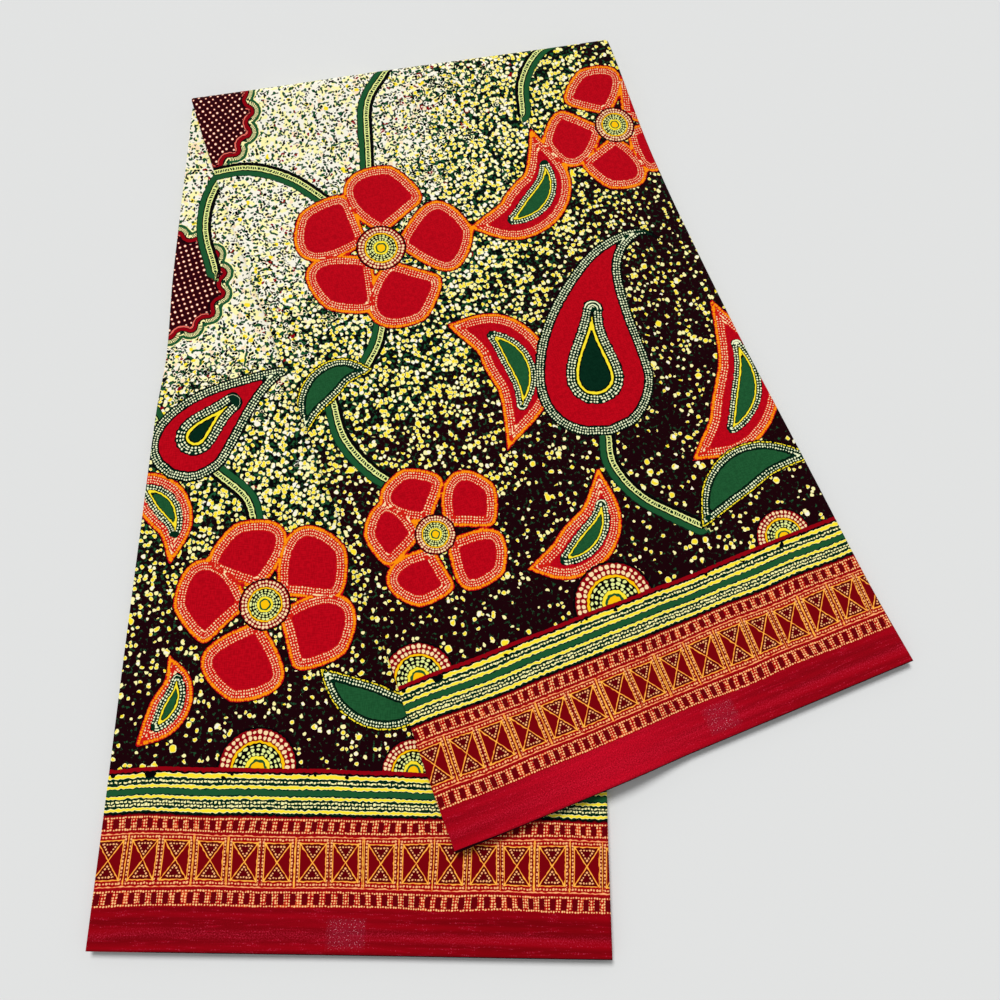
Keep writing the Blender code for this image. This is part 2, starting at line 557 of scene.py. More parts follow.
def nearest_on_lines(points: Array, lines: Sequence[Array], closed: bool) -> Tuple[Array, ...]:
    """The nearest of several lines to each point.

    The distance to a segment is that to the nearest point on it. A point is inside a closed line if a
    ray from it to the right crosses an odd number of segments.

    Args:
        points: (n, 2) places.
        lines: (m, 2) lines.
        closed: whether each line closes.

    Returns:
        Signed distance, travel along the line, and the line's whole length. The distance is negative
        inside a closed line, or on the right of an open one.
    """
    best = np.full(len(points), 1e3)
    sign = np.ones(len(points))
    travel = np.zeros(len(points))
    whole = np.ones(len(points))
    for line in lines:
        ends = np.roll(line, -1, axis=0) if closed else line[1:]
        starts = line if closed else line[:-1]
        run = ends - starts
        length = np.linalg.norm(run, axis=1)
        before = np.concatenate(([0.0], np.cumsum(length)))
        near = np.all((points > line.min(0) - MARGIN) & (points < line.max(0) + MARGIN), axis=1)
        where = np.flatnonzero(near)
        for chunk in np.array_split(where, max(1, len(where) // CHUNK)):
            p = points[chunk][:, None, :]
            off = p - starts
            t = np.clip((off * run).sum(-1) / np.maximum(length**2, 1e-9), 0, 1)
            distance = np.linalg.norm(off - t[..., None] * run, axis=-1)
            k = distance.argmin(1)
            row = np.arange(len(chunk))
            d = distance[row, k]
            if closed:
                rises = (starts[:, 1] > p[..., 1]) != (ends[:, 1] > p[..., 1])
                slope = run[:, 0] / np.where(np.abs(run[:, 1]) < 1e-9, 1e-9, run[:, 1])
                crossed = rises & (p[..., 0] < starts[:, 0] + (p[..., 1] - starts[:, 1]) * slope)
                side = np.where(crossed.sum(1) % 2 == 1, -1.0, 1.0)
                win = d * side < best[chunk] * sign[chunk]
            else:
                cross = run[k, 0] * off[row, k, 1] - run[k, 1] * off[row, k, 0]
                side = np.where(cross < 0, -1.0, 1.0)
                win = d < best[chunk]
            chosen = chunk[win]
            best[chosen], sign[chosen] = d[win], side[win]
            travel[chosen] = (before[k] + t[row, k] * length[k])[win]
            whole[chosen] = before[-1]
    return best * sign, travel, whole


def print_fields(leg: LegPrint, x: Array, y: Array, faces: Array) -> Dict[str, Array]:
    """How far every place of a sheet is from the motifs.

    Travel runs on past a closed line's start where a face lies across it. Where a face lies between two
    stretches of line, all its corners take the travel of the one nearest to a line.

    Args:
        leg: what is printed.
        x: millimetres across, for each vertex.
        y: millimetres up the print, for each vertex.
        faces: the sheet's quads, as vertex numbers.

    Returns:
        For each name, an (n, 4, 3) array of vectors on the faces' corners. A vector's first number is
        REACH less the distance, so that 0 means that nothing is near. The others are the signed offset
        and the travel along the line, or for round centres the place on the disc in radii.
    """
    points = np.stack((x, y), axis=1)
    found: Dict[str, Array] = {}
    lines = {**leg.outlines(), "vines": [smooth_line(v) for v in leg.vines]}
    for name, group in lines.items():
        if not group:
            continue
        closed = name != "vines"
        signed, travel, whole = nearest_on_lines(points, group, closed)
        distance = signed if closed else np.abs(signed)
        t, length = travel[faces], whole[faces].max(1, keepdims=True)
        t = np.where((t.max(1, keepdims=True) - t > 0.5 * length) & closed, t + length, t)
        torn = t.max(1) - t.min(1) > LONGEST_STEP
        nearest = np.abs(distance[faces]).argmin(1)
        t[torn] = t[torn][np.arange(torn.sum()), nearest[torn]][:, None]
        found[name] = np.stack((np.maximum(REACH - distance[faces], 0), signed[faces], t), axis=-1)
    hearts = np.zeros((len(x), 3))
    best = np.full(len(x), np.inf)
    for disc in leg.hearts():
        dx, dy = (x - disc.x) / disc.radius, (y - disc.y) / disc.radius
        away = np.hypot(dx, dy)
        closer = away < best
        best = np.where(closer, away, best)
        hearts[closer] = np.stack((np.maximum(2 - away, 0), dx, dy), axis=1)[closer]
    found["hearts"] = hearts[faces]
    return found


# Shader maths


def dye(red: float, green: float, blue: float) -> Colour:
    """A colour as seen on the cloth, from 0 to 255 a channel, turned to the linear values of a shader."""
    channels = (c / 255 for c in (red, green, blue))
    return (*(c / 12.92 if c <= 0.04045 else ((c + 0.055) / 1.055) ** 2.4 for c in channels), 1.0)


def math_node(operation: str, swapped: bool = False) -> Callable[..., "Thread"]:
    """Makes a method that adds a Math node on its thread and the values that it is given.

    Args:
        operation: what the node works out.
        swapped: whether the thread comes after those values.

    Returns:
        The method.
    """

    def add(thread: "Thread", *others: "Value") -> "Thread":
        """Adds the node."""
        values = (*others, thread) if swapped else (thread, *others)
        return thread.loom.node("ShaderNodeMath", {"operation": operation}, dict(enumerate(values)))

    return add


class Thread:
    """A socket of a shader tree. Python's operators on it, and the methods here, add Math nodes."""

    __add__ = math_node("ADD")
    __sub__ = math_node("SUBTRACT")
    __rsub__ = math_node("SUBTRACT", swapped=True)
    __mul__ = math_node("MULTIPLY")
    __truediv__ = math_node("DIVIDE")
    __abs__ = math_node("ABSOLUTE")
    # 1 where it holds, else 0
    __gt__ = math_node("GREATER_THAN")
    __lt__ = math_node("LESS_THAN")
    # the whole number below, and what is left over it
    floor = math_node("FLOOR")
    fract = math_node("FRACT")
    larger = math_node("MAXIMUM")
    sine = math_node("SINE")
    root = math_node("SQRT")
    # the angle whose tangent is the thread over the other
    angle_with = math_node("ARCTAN2")

    def __init__(self, loom: "Loom", socket: bpy.types.NodeSocket) -> None:
        """Keeps the tree and the socket."""
        self.loom = loom
        self.socket = socket

    def __neg__(self) -> "Thread":
        """The value with its sign changed."""
        return self * -1.0

    def length_with(self, other: "Thread") -> "Thread":
        """Square root of the sum of the squares."""
        return (self * self + other * other).root()

    def within(self, low: float, high: float) -> "Thread":
        """1 between two values, else 0: the distance from the middle is less than half the width."""
        return abs(self - (low + high) / 2) < (high - low) / 2

    def ramp(self, low: float, high: float, to_low: float = 0.0, to_high: float = 1.0) -> "Thread":
        """A straight ramp between two values, level outside them."""
        numbers = {0: self, 1: low, 2: high, 3: to_low, 4: to_high}
        return self.loom.node("ShaderNodeMapRange", {"clamp": True}, numbers)


Value = Union[Thread, float]
Tone = Union[Thread, Colour]


class Loom:
    """A material's shader tree, in which the print is put together."""

    def __init__(self, name: str) -> None:
        """Starts a material with an empty tree.

        Args:
            name: the material's name.
        """
        self.material = bpy.data.materials.new(name)
        self.material.use_nodes = True
        self.tree = self.material.node_tree
        self.tree.nodes.clear()

    def node(self, kind: str, settings: Dict, sockets: Dict, output: Union[int, str] = 0) -> Thread:
        """Adds a node.

        Args:
            kind: the node's type.
            settings: its own settings, set first. "stops" are a colour ramp's places and flat colours.
            sockets: a value or a link for each input, by number or name.
            output: the output that is wanted.

        Returns:
            That output.
        """
        made = self.tree.nodes.new(kind)
        for key, value in settings.items():
            if key != "stops":
                setattr(made, key, value)
                continue
            made.color_ramp.interpolation = "CONSTANT"
            elements = made.color_ramp.elements
            while len(elements) < len(value):
                elements.new(1.0)
            for element, (place, colour) in zip(elements, value):
                element.position, element.color = place, colour
        for key, value in sockets.items():
            if isinstance(value, Thread):
                self.tree.links.new(value.socket, made.inputs[key])
            else:
                made.inputs[key].default_value = value
        return Thread(self, made.outputs[output] if made.outputs else made.inputs[0])

    def others(self, of: Thread) -> List[Thread]:
        """All outputs of the node that an output belongs to."""
        return [Thread(self, socket) for socket in of.socket.node.outputs]

    def over(self, under: Tone, colour: Tone, mask: Value) -> Thread:
        """One colour laid over another where the mask is 1."""
        return self.node("ShaderNodeMix", {"data_type": "RGBA"}, {0: mask, 6: under, 7: colour}, 2)

    def bands(self, at: Thread, stops: Sequence[Tuple[float, Colour]], top: float) -> Thread:
        """Bands of flat colour, each from its place up to the next, the last one up to the top.

        Args:
            at: where a point lies across the bands.
            stops: each band's place and colour.
            top: where the last one ends.

        Returns:
            The colour.
        """
        low = stops[0][0]
        places = [((place - low) / (top - low), colour) for place, colour in stops]
        return self.node("ShaderNodeValToRGB", {"stops": places}, {0: (at - low) / (top - low)})

    def vector(self, x: Value, y: Value, z: Value = 0.0) -> Thread:
        """A vector from three numbers."""
        return self.node("ShaderNodeCombineXYZ", {}, {0: x, 1: y, 2: z})

    def split(self, vector: Thread) -> List[Thread]:
        """A vector's three numbers."""
        return self.others(self.node("ShaderNodeSeparateXYZ", {}, {0: vector}))

    def noise(self, vector: Thread, cycle: float, detail: float = 0.0) -> Thread:
        """Smooth noise about 0, mostly from -0.25 to 0.25, with one lump in about a cycle's length."""
        sockets = {"Vector": vector, "Scale": 1 / cycle, "Detail": detail}
        return self.node("ShaderNodeTexNoise", {"noise_dimensions": "2D"}, sockets) - 0.5

    def cells(self, vector: Thread, pitch: float) -> List[Thread]:
        """Distance to the middle of the nearest Voronoi cell, in pitches, and that cell's own colour."""
        sockets = {"Scale": 1 / pitch, "Vector": vector}
        return self.others(self.node("ShaderNodeTexVoronoi", {"voronoi_dimensions": "2D"}, sockets))[:2]

    def chances(self, x: Value, y: Value, seed: float) -> List[Thread]:
        """Three numbers from 0 to 1 that change only with these whole numbers."""
        place, settings = {0: self.vector(x, y, seed)}, {"noise_dimensions": "3D"}
        return self.split(self.node("ShaderNodeTexWhiteNoise", settings, place, "Color"))

    def dots(self, x: Thread, y: Thread, radius: float, uneven: float, seed: float) -> Thread:
        """How deep a place is inside the round dot of its unit cell, which is negative outside it.

        Each dot has its own radius, from 0.8 to 1.2 of the one given, and is moved a little in its cell.

        Args:
            x: place along the dots, in cells.
            y: place across them, in cells.
            radius: the dots' radius, in cells.
            uneven: how far a dot may be moved, in cells.
            seed: a number that no other dots have.

        Returns:
            The depth, in cells.
        """
        cell_x, cell_y = x.floor(), y.floor()
        draw = self.chances(cell_x, cell_y, seed)
        off_x = x - cell_x - 0.5 - (draw[0] - 0.5) * uneven
        off_y = y - cell_y - 0.5 - (draw[1] - 0.5) * uneven
        return draw[2] * (0.4 * radius) + 0.8 * radius - off_x.length_with(off_y)


# The print


@dataclass(frozen=True)
class Dyes:
    """The colours of the print, as seen on the cloth."""

    red: Colour = dye(184, 0, 20)
    deep_red: Colour = dye(142, 0, 14)
    maroon: Colour = dye(92, 0, 7)
    night: Colour = dye(26, 0, 5)
    black: Colour = dye(4, 2, 4)
    green: Colour = dye(28, 84, 46)
    moss: Colour = dye(24, 66, 40)
    deep_green: Colour = dye(0, 38, 22)
    yellow: Colour = dye(255, 230, 46)
    gold: Colour = dye(255, 196, 6)
    pale: Colour = dye(255, 248, 176)
    lime: Colour = dye(232, 240, 150)
    cream: Colour = dye(250, 245, 228)
    peach: Colour = dye(255, 228, 190)
    frost: Colour = dye(244, 250, 204)
    flame: Colour = dye(254, 146, 8)
    ember: Colour = dye(206, 28, 16)
    orange: Colour = dye(236, 96, 24)
    amber: Colour = dye(255, 190, 74)
    blush: Colour = dye(255, 222, 170)


@dataclass(frozen=True)
class Cotton:
    """The cloth's finish: crisp printed cotton with a plain weave, and where its field starts."""

    roughness: float = 0.85
    specular: float = 0.03
    sheen: float = 0.02
    weave_depth: float = 0.12
    thread: float = 0.42
    field_start: float = 105.1


@dataclass(frozen=True)
class Marks:
    """Marks along a rim, between two depths: dashes, or dots where there is a number of rows.

    The share is a dash's length or a dot's radius, in pitches. Dashes slant by `slant` pitches a
    millimetre of depth.
    """

    low: float
    high: float
    pitch: float
    colour: Colour
    share: float
    rows: int = 0
    slant: float = 0.0


@dataclass(frozen=True)
class Rim:
    """How a form is printed: bands and marks that run inwards from its outline, round a fill.

    `name` is the form's field. Bands are depths and colours, and the first depth is negative, for a halo
    outside the outline. The fill starts at the depth `fill_from`.
    """

    name: str
    bands: Tuple[Tuple[float, Colour], ...]
    marks: Tuple[Marks, ...]
    fill: Tone
    fill_from: float


class WaxPrint:
    """Draws the whole print in one shader, from the ground up to the selvedge."""

    def __init__(self, name: str, finish: Cotton = Cotton(), dyes: Dyes = Dyes()) -> None:
        """Starts the material, reads the cloth's coordinates and makes the noises that all share.

        Args:
            name: the material's name.
            finish: how the cotton looks and where its field starts.
            dyes: the colours.
        """
        self.loom = Loom(name)
        self.finish = finish
        self.dyes = dyes
        cloth = self.loom.split(self.loom.node("ShaderNodeUVMap", {"uv_map": "cloth"}, {}))
        self.x, self.y = cloth[0] * MM, cloth[1] * MM
        self.place = self.loom.vector(self.x, self.y)
        self.fine = self.loom.noise(self.place, 2.4)
        self.other = self.loom.noise(self.loom.vector(self.y, self.x), 2.9)
        self.slow = self.loom.noise(self.place, 42.0)
        self.blotch = self.loom.noise(self.place, 7.5, 1.0)
        self.grain = self.loom.noise(self.loom.vector(self.x + self.y * 0.6, self.y - self.x * 0.6), 0.9, 1.0)
        weft = self.loom.noise(self.loom.vector(self.x * 0.16, self.y), 0.62)
        warp = self.loom.noise(self.loom.vector(self.x, self.y * 0.16 + 70), 0.62)
        self.threads = weft + warp

    def attribute(self, name: str) -> List[Thread]:
        """A field's three numbers."""
        return self.loom.split(self.loom.node("ShaderNodeAttribute", {"attribute_name": name}, {}, 1))

    def fill(self, tone: Colour) -> Thread:
        """A flat colour with the faint unevenness of dye on a weave, from 0.84 to 1.10 of itself.

        Args:
            tone: the flat colour.

        Returns:
            The colour.
        """
        lighter = (*(min(1.0, c * 1.10 + 0.001) for c in tone[:3]), 1.0)
        darker = (*(c * 0.84 for c in tone[:3]), 1.0)
        return self.loom.over(darker, lighter, self.threads.ramp(-0.22, 0.22))

    def ground(self) -> Thread:
        """The speckled ground, from cream with dark flecks to near black with yellow dots.

        Small dots sit in the cells of a Voronoi pattern. As the ground gets lighter they grow and more
        cells have one, until only flecks of the dark are left between them. More flecks lie on the
        light part, in the middle of some cells and where the sum of two noises is high. On the dark
        part there are also a few large dots, in wide cells.

        Returns:
            The colour.
        """
        loom, dyes = self.loom, self.dyes
        pitch, wide_pitch, none = 3.0, 9.0, 10.0
        dark = self.attribute("darkness")[0]
        drift = loom.noise(self.place, 21.0, 1.0)
        dark = dark + drift * (dark * (1 - dark) + 0.08)
        bent = loom.vector(self.x + self.fine * 1.1, self.y + self.other * 1.1)
        away, drawn = loom.cells(bent, pitch)
        pick, size, hue = loom.split(drawn)
        radius = dark.ramp(0.0, 0.45, 0.86, 0.46) - dark.ramp(0.6, 1.0, 0.0, 0.06)
        radius = radius + (size - 0.5) * dark.ramp(0.0, 1.0, 0.10, 0.24)
        deep = radius - away - (pick > dark.ramp(0.30, 1.0, 1.0, 0.14)) * none
        wide_away, wide_drawn = loom.cells(bent, wide_pitch)
        wide_pick, breadth = loom.split(wide_drawn)[:2]
        large = breadth * 0.17 + 0.11 - wide_away - (wide_pick > dark.ramp(0.6, 1.0, 0.0, 0.24)) * none
        deep = deep.larger(large * (wide_pitch / pitch))

        # What shows between the dots, then the dots from their edge to their middle
        back = loom.over(dyes.black, dyes.night, dark.ramp(0.55, 0.80))
        speck = self.fine + self.grain * 0.7
        back = loom.over(back, dyes.moss, speck > dark.ramp(0.35, 1.0, 0.02, 0.30))
        back = loom.over(back, dyes.green, speck > dark.ramp(0.35, 1.0, 0.14, 0.44))
        back = loom.over(back, dyes.deep_red, (hue < 0.03) * (dark < 0.45))
        light = dark.ramp(0.16, 0.55, 1.0, 0.0)
        centre = loom.over(dyes.yellow, dyes.cream, hue < light * 0.45 + 0.10)
        centre = loom.over(centre, dyes.peach, (hue > 0.57) * (hue < light * 0.12 + 0.57))
        centre = loom.over(centre, dyes.pale, hue > 0.76 - light * 0.14)
        spot = loom.over(loom.over(dyes.pale, dyes.cream, light), centre, deep > 0.13)
        spot = loom.over(spot, dyes.cream, (self.blotch < -0.17) * (dark < 0.60))
        flecks = ((away + self.fine < 0.25) * (size < 0.45)).larger(self.fine + self.other > 0.21)
        return loom.over(back, spot, (deep > 0) * (1 - flecks * (dark < 0.42)))

    def rimmed(self, under: Thread, rim: Rim) -> Thread:
        """The forms of one field, each with its rim.

        Args:
            under: what they are printed over.
            rim: how they are printed.

        Returns:
            The colour.
        """
        loom = self.loom
        near, _, travel = self.attribute(rim.name)
        depth = near - REACH + self.fine * 0.7
        form = loom.bands(depth, rim.bands, rim.fill_from + 1.0)
        for number, row in enumerate(rim.marks):
            along = travel / row.pitch + (depth * row.slant if row.slant else 0.0)
            if row.rows:
                up = (depth - row.low) * (row.rows / (row.high - row.low))
                mark = loom.dots(along, up, row.share, 0.24, number + row.pitch) > 0
            else:
                mark = (along + self.other * 1.1).fract() < row.share
            form = loom.over(form, row.colour, mark * depth.within(row.low, row.high))
        form = loom.over(form, rim.fill, depth > rim.fill_from)
        return loom.over(under, form, (near > 0.5) * (depth + self.other * 1.4 > rim.bands[0][0] + 0.35))

    def rims(self) -> Tuple[Rim, ...]:
        """How the motifs are printed, in the order in which they lie over each other.

        Petals and leaves are red, with an orange dotted line and rows of small pinkish dots. Paisleys are
        red, with rows of pale dots on deep green. Green leaves have a broken yellow line outside their
        pale dots. The green cores of leaves and paisleys have a yellow edge inside rows of pale dots.

        Returns:
            A rim for each field.
        """
        d = self.dyes
        red, green = self.fill(d.red), self.fill(d.green)
        return (
            Rim(
                "gold_rimmed",
                ((-0.9, d.black), (0.0, d.red), (0.6, d.ember)),
                (Marks(0.4, 2.5, 1.70, d.flame, 0.47, rows=1), Marks(2.3, 7.7, 1.95, d.blush, 0.26, rows=3)),
                red, 7.8,
            ),
            Rim(
                "green_rimmed",
                ((-0.9, d.black), (0.3, d.deep_green), (6.3, d.black)),
                (Marks(0.4, 6.2, 1.95, d.frost, 0.29, rows=3),),
                red, 7.1,
            ),
            Rim(
                "green_forms",
                ((-0.8, d.black), (0.3, d.yellow), (1.1, d.deep_green), (5.7, d.black)),
                (Marks(0.3, 1.1, 3.1, d.black, 0.30), Marks(1.4, 5.3, 1.95, d.frost, 0.29, rows=2)),
                green, 6.3,
            ),
            Rim(
                "cores",
                ((-4.4, d.black), (-3.8, d.deep_green), (-0.4, d.black), (0.0, d.yellow), (1.0, d.black)),
                (Marks(-4.0, -0.2, 1.9, d.frost, 0.29, rows=2),),
                green, 1.5,
            ),
            Rim(
                "drops",
                ((-7.8, d.black), (-6.9, d.deep_green), (-0.7, d.black), (0.0, d.yellow), (1.7, d.black)),
                (Marks(-6.9, -0.9, 2.0, d.frost, 0.30, rows=3),),
                self.fill(d.deep_green), 2.6,
            ),
        )

    def panels(self, under: Thread) -> Thread:
        """Dark panels with slanted rows of small light dots, in a green, hatched and red rim.

        Args:
            under: what they are printed over.

        Returns:
            The colour.
        """
        loom, d = self.loom, self.dyes
        x, y = self.x / 4.1, self.y / 4.1
        dot = loom.dots(x * 0.94 + y * 0.34, y * 0.94 - x * 0.34, 0.23, 0.14, 5.0)
        inside = loom.over(dye(44, 0, 8), dye(226, 72, 40), dot > 0)
        inside = loom.over(inside, dye(255, 236, 208), dot > 0.06)
        bands = (
            (-0.9, d.pale), (0.0, d.green), (2.0, d.deep_green), (4.6, d.black), (5.4, d.deep_red), (7.7, d.night),
        )
        marks = (
            Marks(2.0, 4.6, 1.4, d.pale, 0.52, slant=0.25),
            Marks(7.9, 9.3, 1.6, dye(236, 110, 96), 0.36, rows=1),
        )
        return self.rimmed(under, Rim("panels", bands, marks, inside, 9.5))

    def vines(self, under: Thread) -> Thread:
        """Stems: a green side, two pale lines with rungs between them, and a thin dark side.

        Args:
            under: what they are printed over.

        Returns:
            The colour.
        """
        loom, d = self.loom, self.dyes
        near, offset, travel = self.attribute("vines")
        offset = offset + self.fine * 0.6 + self.slow * 2.4
        bands = (
            (-7.0, d.deep_green), (-6.2, d.green), (-2.6, d.black), (-1.7, d.lime), (-0.9, d.deep_green),
            (1.2, d.lime), (2.0, d.black), (4.4, d.deep_green),
        )
        stem = loom.bands(offset, bands, 7.0)
        rungs = ((travel / 1.9 + self.other).fract() < 0.36) * offset.within(-0.9, 1.2)
        stem = loom.over(stem, d.lime, rungs)
        return loom.over(under, stem, (near > REACH - 9.0) * (abs(offset + 1.1 + self.other) < 5.7))

    def hearts(self, under: Thread) -> Thread:
        """Round centres: rings of dots on red and on black, between gold rings round a gold disc.

        Args:
            under: what they are printed over.

        Returns:
            The colour.
        """
        loom, d = self.loom, self.dyes
        near, dx, dy = self.attribute("hearts")
        r = dx.length_with(dy) + self.fine * 0.05
        turn = dy.angle_with(dx)
        bands = (
            (0.0, d.gold), (0.17, d.green), (0.23, d.yellow), (0.31, d.black), (0.62, d.gold), (0.68, d.deep_red),
            (0.97, d.black),
        )
        rings = loom.bands(r, bands, 1.1)
        inner = loom.dots(turn * 3.4, (r - 0.31) / 0.103, 0.36, 0.2, 6.0)
        rings = loom.over(rings, d.lime, (inner > 0) * r.within(0.31, 0.62))
        outer = loom.dots(turn * 6.05, (r - 0.69) / 0.135, 0.36, 0.2, 7.0)
        rings = loom.over(rings, d.blush, (outer > 0) * r.within(0.69, 0.96))
        return loom.over(under, rings, (near > 0.01) * (r < 1.03))

    def green_stripes(self, y: Thread) -> Thread:
        """The border's green and yellow stripes, with rows of pale dashes between them.

        Args:
            y: millimetres up from the selvedge.

        Returns:
            The colour.
        """
        loom, d = self.loom, self.dyes
        ragged = y + self.fine * 0.9
        marks = (
            (76.0, d.maroon), (77.6, d.black), (78.5, d.deep_green), (79.3, d.pale), (79.6, d.yellow),
            (80.9, d.pale), (81.2, d.deep_green), (86.7, d.pale), (87.0, d.yellow), (88.2, d.pale),
            (88.5, d.deep_green), (89.2, d.green), (92.3, d.deep_green), (92.9, d.pale), (93.2, d.yellow),
            (94.5, d.pale), (94.8, d.deep_green), (98.9, d.pale), (99.3, d.yellow), (101.0, d.pale),
            (101.4, d.black), (102.7, d.deep_red), (105.1, d.night),
        )
        stripes = loom.bands(ragged, marks, 106.0)
        breaks = (self.blotch < -0.19) * ragged.within(98.4, 101.9)
        stripes = loom.over(stripes, d.black, breaks)
        for middle, seed in ((83.05, 1.0), (85.0, 2.0), (96.9, 3.0)):
            along = self.x / 2.2 + self.slow * 4.0
            cut = loom.chances(along.floor(), seed, 30.0)[0] * 0.42 + 0.50
            dash = ((along + 0.31 * seed).fract() < cut) * (ragged - middle).within(-0.5, 0.5)
            stripes = loom.over(stripes, d.pale, dash)
        return stripes

    def bar_row(self, under: Thread, y: Thread, middle: float, half: float, seed: float) -> Thread:
        """A row of solid bars between columns of small dots, with a dotted line on both sides.

        Args:
            under: what it is printed over.
            y: millimetres up from the selvedge.
            middle: where the row's middle is.
            half: half the bars' height.
            seed: a number that sets its dots and bars off from other rows.

        Returns:
            The colour.
        """
        loom = self.loom
        x = self.x + self.slow * 5.0
        dotted = (x / 6.9 + seed * 0.37).fract() < 0.50
        between = (y - middle).within(-half, half)
        step = 2 * half / round(half / 0.78)
        dot = loom.dots(x / 1.65, (y - middle + half) / step, 0.38, 0.30, seed)
        row = loom.over(under, loom.over(dye(104, 0, 8), dye(174, 4, 12), dotted), between)
        rows = (between * dotted).larger(abs(abs(y - middle) - half - 0.75) < 0.60)
        smear = rows * (self.blotch > 0.16)
        row = loom.over(row, dye(222, 84, 40), ((dot > 0) * rows).larger(smear * (dot > -0.22)))
        return loom.over(row, dye(255, 202, 136), (dot > 0.08) * rows)

    def boxes(self, under: Thread, y: Thread) -> Thread:
        """The band of crossed boxes, each with dotted triangles at its top and bottom.

        The distance from a diagonal, and travel along it, are products with the diagonal's direction.

        Args:
            under: what it is printed over.
            y: millimetres up from the selvedge.

        Returns:
            The colour.
        """
        loom, d = self.loom, self.dyes
        # A box's pitch, half its width, where its middle is, and half its height
        pitch, half, middle, tall = 20.9, 7.9, 51.5, 11.1
        slope = math.hypot(half, tall)
        x = self.x + 5.0 + self.slow * 2.0 + self.fine * 0.4
        cell = (x / pitch).floor()
        luck = loom.chances(cell, 0.0, 11.0)
        across = (x / pitch - cell - 0.5) * pitch + (luck[0] - 0.5) * 1.6
        up = y - middle + self.other * 0.5
        bx, by = abs(across), abs(up)
        diagonal = bx * (tall / slope) - by * (half / slope)
        travel = bx * (half / slope) + by * (tall / slope)
        inside = (bx < half) * (by < tall)
        ends_up = by - tall
        band = loom.over(dye(160, 2, 12), dye(120, 0, 9), by < tall)
        band = loom.over(band, d.maroon, inside * (diagonal < 0))

        # Rows of dots past the ends, beside the boxes, along the diagonals and inside the ends: place
        # along the row in dots, place across it in dots, and where it shows
        dotted = (
            (across / 1.9, (ends_up - 1.05) / 1.6, ends_up.within(1.05, 2.65)),
            (y / 2.0, (pitch / 2 - bx - 0.8) / 1.5, (pitch / 2 - bx).within(0.8, 2.3) * (by < tall + 1.0)),
            (travel / 1.8, (-diagonal - 1.2) / 1.5, (-diagonal).within(1.2, 2.7) * (by < tall - 1.8)),
            (across / 1.8 + 0.5, (-ends_up - 1.2) / 1.5, (-ends_up).within(1.2, 2.7) * (diagonal < -2.2)),
        )
        for number, (along, beside, where) in enumerate(dotted):
            dot = loom.dots(along, beside, 0.34, 0.22, 21.0 + number)
            band = loom.over(band, dye(255, 184, 122), (dot > 0) * where)
        line = self.fine * 0.40 + 0.36
        joint = travel.ramp(slope * 0.86, slope, 0.0, 0.4)
        # Lines on the diagonals, the sides, the ends and between boxes: distance, and where it shows
        lines = (
            (abs(diagonal) - joint, inside),
            (abs(bx - half), by < tall + 0.5),
            (abs(ends_up), bx < half + 0.5),
            (abs(bx - pitch / 2), (by < tall + 4.0) * (luck[1] > 0.14)),
        )
        for inner, tone in ((0.0, d.orange), (0.15, d.amber)):
            mask: Value = 0.0
            for away, where in lines:
                mask = ((away < line - inner) * where).larger(mask)
            band = loom.over(band, tone, mask)
        thin = abs(ends_up - 3.7) + self.other * 0.5
        band = loom.over(band, dye(222, 84, 40), thin < 0.42)
        band = loom.over(band, dye(255, 184, 122), thin < 0.20)
        return loom.over(under, band, by < tall + 4.3)

    def selvedge(self) -> Thread:
        """The plain red edge of the cloth, brushed along its length, with faint lighter streaks.
        It is painted lighter as a sheen where the light falls on it, and painted shade runs along its very edge.

        Returns:
            The colour.
        """
        loom = self.loom
        brush = loom.noise(loom.vector(self.x * 0.10, self.y), 1.3, 2.0)
        wide = loom.noise(loom.vector(self.x * 0.03, self.y), 5.0)
        red = loom.over(dye(116, 0, 7), dye(150, 0, 14), wide.ramp(-0.2, 0.2))
        red = loom.over(red, dye(172, 4, 32), brush.ramp(0.02, 0.30, 0.0, 0.50))
        red = loom.over(red, dye(206, 72, 104), (brush > 0.10) * (self.grain > 0.17) * 0.5)
        streak = abs(self.y - 10.5 + self.slow * 3.0).ramp(0.0, 4.0, 1.0, 0.0)
        red = loom.over(red, dye(186, 34, 62), streak * self.grain.ramp(-0.05, 0.25, 0.0, 0.7))
        # Painted sheen: the patch field's second number paints the selvedge lighter where the light falls on it,
        # most near its middle.
        patch, painted_sheen = self.attribute("patch")[:2]
        red = loom.over(red, dye(218, 14, 44), painted_sheen * self.grain.ramp(-0.25, 0.25, 0.25, 0.95))
        red = loom.over(red, dye(150, 36, 60), patch * self.grain.ramp(-0.15, 0.15, 0.10, 0.5))
        red = loom.over(red, dye(240, 170, 180), patch * (self.grain > 0.24) * 0.8)
        # Painted shade: a near-black line along the very edge at the selvedge, and over the selvedge ends of the
        # hidden layers, standing in for the shade on the edge of the stack.
        return loom.over(red, dye(34, 0, 5), self.y < 0.45)

    def border(self, under: Thread) -> Thread:
        """Everything from the selvedge up to the thin red line under the field.

        Args:
            under: the field.

        Returns:
            The colour.
        """
        y = self.y + self.slow * 2.0 + self.fine * 0.5
        base = self.loom.over(self.selvedge(), dye(150, 2, 14), y > 25.2)
        base = self.boxes(base, y)
        base = self.bar_row(base, y, 30.2, 3.1, 1.0)
        base = self.bar_row(base, y, 72.2, 2.7, 2.0)
        base = self.loom.over(base, self.green_stripes(y), y > 77.0)
        return self.loom.over(under, base, y < self.finish.field_start)

